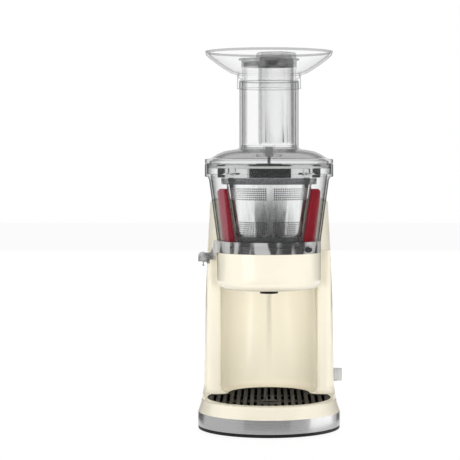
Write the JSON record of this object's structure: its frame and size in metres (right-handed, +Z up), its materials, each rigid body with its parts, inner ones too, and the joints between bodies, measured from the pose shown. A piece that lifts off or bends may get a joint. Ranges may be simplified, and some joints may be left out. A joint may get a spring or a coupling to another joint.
{
  "type": "cold press juicer",
  "caption": "Upright cold press juicer: cream body with a pulp niche, clear bowl with strainer and wipers, clear lid, feed tube, tray and pushers.",
  "frame": {"origin": "centre of the footprint, on the surface it stands on", "axes": "+Z up, -Y to the front (bowl and niche), +X to the right (switch)"},
  "size_m": [0.1703, 0.25, 0.44],
  "materials": {
    "cream_gloss": "gloss",
    "brushed_band": "brushed",
    "black_plastic": "satin",
    "grate_black": "gloss",
    "rubber_grey": "matt",
    "clear_plastic": "clear",
    "smoke_plastic": "clear grey",
    "grey_plastic": "satin",
    "auger_dark": "satin",
    "red_silicone": "satin",
    "strainer_steel": "satin",
    "polished_steel": "polished",
    "bright_steel": "turned",
    "motor_steel": "satin",
    "bronze": "sintered",
    "copper_coils": "enamelled wire",
    "board_green": "lacquered"
  },
  "bodies": {
    "base": {"housing": "cream_gloss", "rear_cover": "cream_gloss", "cover_screws": "bright_steel", "base_band": "brushed_band", "chassis": "black_plastic", "rubber_feet": "rubber_grey", "base_screws": "bright_steel", "pulp_chute": "black_plastic", "gear_case": "black_plastic", "gear_cover": "black_plastic", "gear_pins": "bright_steel", "motor_can": "motor_steel", "motor_top_bell": "motor_steel", "motor_bottom_bell": "motor_steel", "stator": "motor_steel", "windings": "copper_coils", "motor_bearings": "bronze", "motor_mounts": "rubber_grey", "drive_bearings": "bronze", "control_board": "board_green", "cord_gland": "black_plastic", "switch_body": "black_plastic"},
    "rotor": {"rotor": "motor_steel", "motor_shaft": "bright_steel", "motor_pinion": "bright_steel", "cooling_fan": "black_plastic"},
    "first_gear": {"first_gear": "bright_steel"},
    "second_gear": {"second_gear": "bright_steel"},
    "transfer_gear": {"transfer_gear": "bright_steel"},
    "drive": {"drive_shaft": "bright_steel", "output_gear": "bright_steel"},
    "bowl": {"bowl": "clear_plastic", "bowl_seal": "rubber_grey", "sump_plug": "rubber_grey", "spout_pin": "bright_steel", "strainer_cup": "strainer_steel", "strainer_rim": "polished_steel", "idler_pins": "bright_steel"},
    "flap": {"spout_flap": "grey_plastic"},
    "idler_left": {"basket_idler_left": "grey_plastic"},
    "idler_right": {"basket_idler_right": "grey_plastic"},
    "basket": {"brush_basket": "smoke_plastic", "basket_gear": "grey_plastic", "wiper_left": "red_silicone", "wiper_right": "red_silicone"},
    "auger": {"auger": "auger_dark", "auger_gear": "grey_plastic", "auger_pivot": "bright_steel"},
    "lid": {"lid": "clear_plastic", "lid_bush": "grey_plastic", "lid_seal": "grey_plastic"},
    "tray": {"tray": "clear_plastic"},
    "pusher": {"pusher_large": "clear_plastic"},
    "small_pusher": {"pusher_small": "smoke_plastic"},
    "grate": {"drip_grate": "grate_black"},
    "knob": {"switch_knob": "grey_plastic"}
  },
  "joints": [
    {"name": "bowl_lift", "type": "slide", "parent": "base", "child": "bowl", "axis": [0, 0, 1], "range_m": [0, 0.06]},
    {"name": "lid_lift", "type": "slide", "parent": "bowl", "child": "lid", "axis": [0, 0, 1], "range_m": [0, 0.05]},
    {"name": "tray_lift", "type": "slide", "parent": "lid", "child": "tray", "axis": [0, 0, 1], "range_m": [0, 0.04]},
    {"name": "pusher_slide", "type": "slide", "parent": "tray", "child": "pusher", "axis": [0, 0, 1], "range_m": [0, 0.1]},
    {"name": "small_pusher_slide", "type": "slide", "parent": "pusher", "child": "small_pusher", "axis": [0, 0, 1], "range_m": [0, 0.1]},
    {"name": "grate_lift", "type": "slide", "parent": "base", "child": "grate", "axis": [0, 0, 1], "range_m": [0, 0.04]},
    {"name": "spout_flap_swing", "type": "hinge", "parent": "bowl", "child": "flap", "pos_m": [-0.0706, -0.055, 0.1944], "axis": [0, -1, 0], "range_deg": [0, 60]},
    {"name": "switch_turn", "type": "hinge", "parent": "base", "child": "knob", "pos_m": [0.08, 0.012, 0.055], "axis": [1, 0, 0], "range_deg": [-40, 40]},
    {"name": "motor_spin", "type": "hinge", "parent": "base", "child": "rotor", "pos_m": [0, 0.087, 0.11], "axis": [0, 0, 1], "continuous": true},
    {"name": "first_gear_spin", "type": "hinge", "parent": "base", "child": "first_gear", "pos_m": [0, 0.057, 0.174], "axis": [0, 0, 1], "continuous": true},
    {"name": "second_gear_spin", "type": "hinge", "parent": "base", "child": "second_gear", "pos_m": [0, 0.0245, 0.184], "axis": [0, 0, 1], "continuous": true},
    {"name": "transfer_gear_spin", "type": "hinge", "parent": "base", "child": "transfer_gear", "pos_m": [0, -0.004, 0.194], "axis": [0, 0, 1], "continuous": true},
    {"name": "drive_spin", "type": "hinge", "parent": "base", "child": "drive", "pos_m": [0, -0.043, 0.194], "axis": [0, 0, 1], "continuous": true},
    {"name": "auger_spin", "type": "hinge", "parent": "bowl", "child": "auger", "pos_m": [0, -0.043, 0.25], "axis": [0, 0, 1], "continuous": true},
    {"name": "basket_idler_left_spin", "type": "hinge", "parent": "bowl", "child": "idler_left", "pos_m": [-0.0225, -0.043, 0.216], "axis": [0, 0, 1], "continuous": true},
    {"name": "basket_idler_right_spin", "type": "hinge", "parent": "bowl", "child": "idler_right", "pos_m": [0.0225, -0.043, 0.216], "axis": [0, 0, 1], "continuous": true},
    {"name": "basket_spin", "type": "hinge", "parent": "bowl", "child": "basket", "pos_m": [0, -0.043, 0.25], "axis": [0, 0, 1], "continuous": true}
  ],
  "couplings": [
    {"joint": "first_gear_spin", "follows": "motor_spin", "ratio": -0.25},
    {"joint": "second_gear_spin", "follows": "motor_spin", "ratio": 0.075},
    {"joint": "transfer_gear_spin", "follows": "motor_spin", "ratio": -0.04375},
    {"joint": "drive_spin", "follows": "motor_spin", "ratio": 0.0375},
    {"joint": "auger_spin", "follows": "motor_spin", "ratio": 0.0375},
    {"joint": "basket_idler_left_spin", "follows": "motor_spin", "ratio": -0.042857},
    {"joint": "basket_idler_right_spin", "follows": "motor_spin", "ratio": -0.042857},
    {"joint": "basket_spin", "follows": "motor_spin", "ratio": -0.013636}
  ]
}
